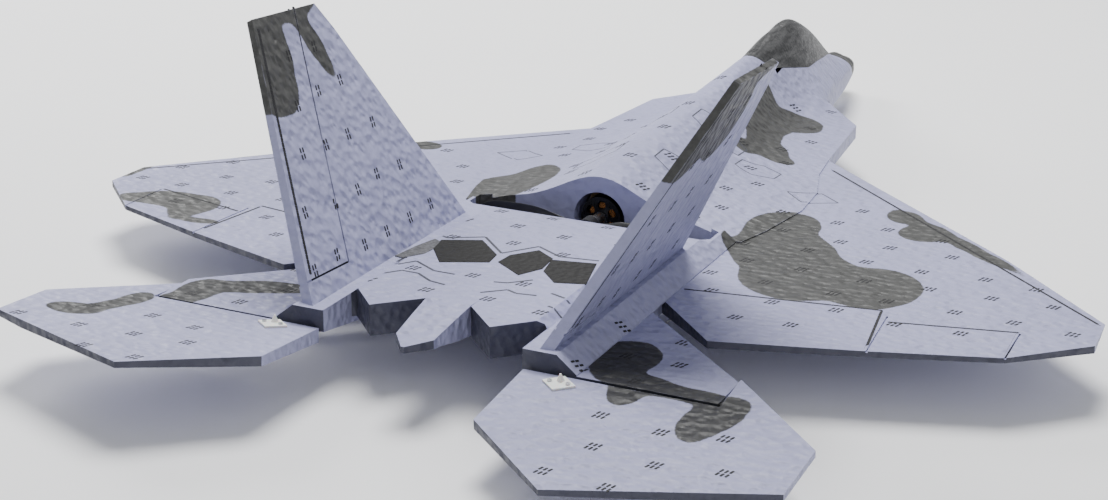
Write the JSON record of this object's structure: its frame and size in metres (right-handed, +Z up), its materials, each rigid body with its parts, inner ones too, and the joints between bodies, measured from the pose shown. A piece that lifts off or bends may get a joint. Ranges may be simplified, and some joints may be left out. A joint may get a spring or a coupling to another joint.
{
  "type": "rc jet plane",
  "caption": "Foam twin-fin jet model with a mid-fuselage pusher propeller in a slot, all-moving tails worked by servos and pushrods, and a lift-off canopy.",
  "frame": {"origin": "centre of the bounding box in plan, on the surface that the belly rests on", "axes": "+Y forward along the fuselage, +X to starboard, +Z up"},
  "size_m": [0.6704, 0.8724, 0.1912],
  "materials": {
    "foam": "pebbled foam, satin, grey-blue with dark grey patches",
    "canopy": "dark grey pebbled foam",
    "carbon": "carbon fibre tube",
    "nylon": "white nylon",
    "steel": "plain steel",
    "servo_case": "translucent blue plastic",
    "plywood": "birch plywood",
    "copper": "enamelled copper wire",
    "motor_black": "black anodised",
    "anodised": "satin aluminium",
    "prop_plastic": "black glass-filled nylon",
    "battery_wrap": "heat-shrink wrap",
    "strap": "woven hook-and-loop strap",
    "esc_wrap": "heat-shrink wrap",
    "receiver_case": "moulded case",
    "connector": "moulded connector",
    "lead": "silicone insulated wire"
  },
  "bodies": {
    "airframe": {"fuselage": "foam", "belly_pan": "foam", "wing_left": "foam", "wing_right": "foam", "fin_left": "foam", "fin_right": "foam", "stab_left": "foam", "stab_right": "foam", "nose_cap": "canopy", "main_spar": "carbon", "rear_spar": "carbon", "hinge_leaves_fixed": "nylon", "hinge_pins": "steel", "servo_screws": "steel", "motor_screws": "steel", "motor_bearings": "steel", "body_magnets": "steel", "servo_left": "servo_case", "servo_right": "servo_case", "motor_plate": "plywood", "motor_windings": "copper", "motor_stator": "motor_black", "battery": "battery_wrap", "battery_strap": "strap", "esc": "esc_wrap", "receiver": "receiver_case", "battery_connector": "connector", "motor_leads": "lead", "battery_leads": "lead", "esc_leads": "lead", "servo_lead_left": "lead", "servo_lead_right": "lead"},
    "rotor": {"motor_can": "motor_black", "motor_magnets": "steel", "motor_shaft": "steel", "prop_adapter": "anodised", "propeller": "prop_plastic", "prop_nut": "anodised"},
    "hatch": {"canopy_hatch": "canopy", "hatch_magnets": "steel"},
    "tail_left": {"tail_left": "foam", "hinge_leaves_left": "nylon", "horn_left": "nylon", "horn_cap_left": "nylon", "horn_screws_left": "steel"},
    "arm_left": {"servo_arm_left": "nylon", "arm_screw_left": "steel"},
    "link_left": {"pushrod_left": "steel", "clevis_left": "nylon"},
    "tail_right": {"tail_right": "foam", "hinge_leaves_right": "nylon", "horn_right": "nylon", "horn_cap_right": "nylon", "horn_screws_right": "steel"},
    "arm_right": {"servo_arm_right": "nylon", "arm_screw_right": "steel"},
    "link_right": {"pushrod_right": "steel", "clevis_right": "nylon"}
  },
  "joints": [
    {"name": "tail_left_hinge", "type": "hinge", "parent": "airframe", "child": "tail_left", "pos_m": [-0.12, -0.32645, 0.0337], "axis": [1, 0, 0], "range_deg": [-17.5, 26.5]},
    {"name": "arm_left_hinge", "type": "hinge", "parent": "airframe", "child": "arm_left", "pos_m": [-0.0874, -0.14575, 0.0337], "axis": [1, 0, 0], "range_deg": [-18.5, 27.5]},
    {"name": "link_left_pivot", "type": "hinge", "parent": "arm_left", "child": "link_left", "pos_m": [-0.0874, -0.14693, 0.01875], "axis": [1, 0, 0], "range_deg": [-27.5, 18.5]},
    {"name": "tail_right_hinge", "type": "hinge", "parent": "airframe", "child": "tail_right", "pos_m": [0.12, -0.32645, 0.0337], "axis": [1, 0, 0], "range_deg": [-28, 16]},
    {"name": "arm_right_hinge", "type": "hinge", "parent": "airframe", "child": "arm_right", "pos_m": [0.0874, -0.14575, 0.0337], "axis": [1, 0, 0], "range_deg": [-29, 17]},
    {"name": "link_right_pivot", "type": "hinge", "parent": "arm_right", "child": "link_right", "pos_m": [0.0874, -0.14418, 0.01878], "axis": [1, 0, 0], "range_deg": [-17, 29]},
    {"name": "rotor_spin", "type": "hinge", "parent": "airframe", "child": "rotor", "pos_m": [0, -0.10125, 0.0394], "axis": [0, 1, 0], "continuous": true},
    {"name": "hatch_lift", "type": "slide", "parent": "airframe", "child": "hatch", "axis": [0, 0, 1], "range_m": [0, 0.06]}
  ],
  "couplings": [
    {"joint": "arm_left_hinge", "follows": "tail_left_hinge", "ratio": 1},
    {"joint": "link_left_pivot", "follows": "tail_left_hinge", "ratio": -1},
    {"joint": "arm_right_hinge", "follows": "tail_right_hinge", "ratio": 1},
    {"joint": "link_right_pivot", "follows": "tail_right_hinge", "ratio": -1}
  ]
}
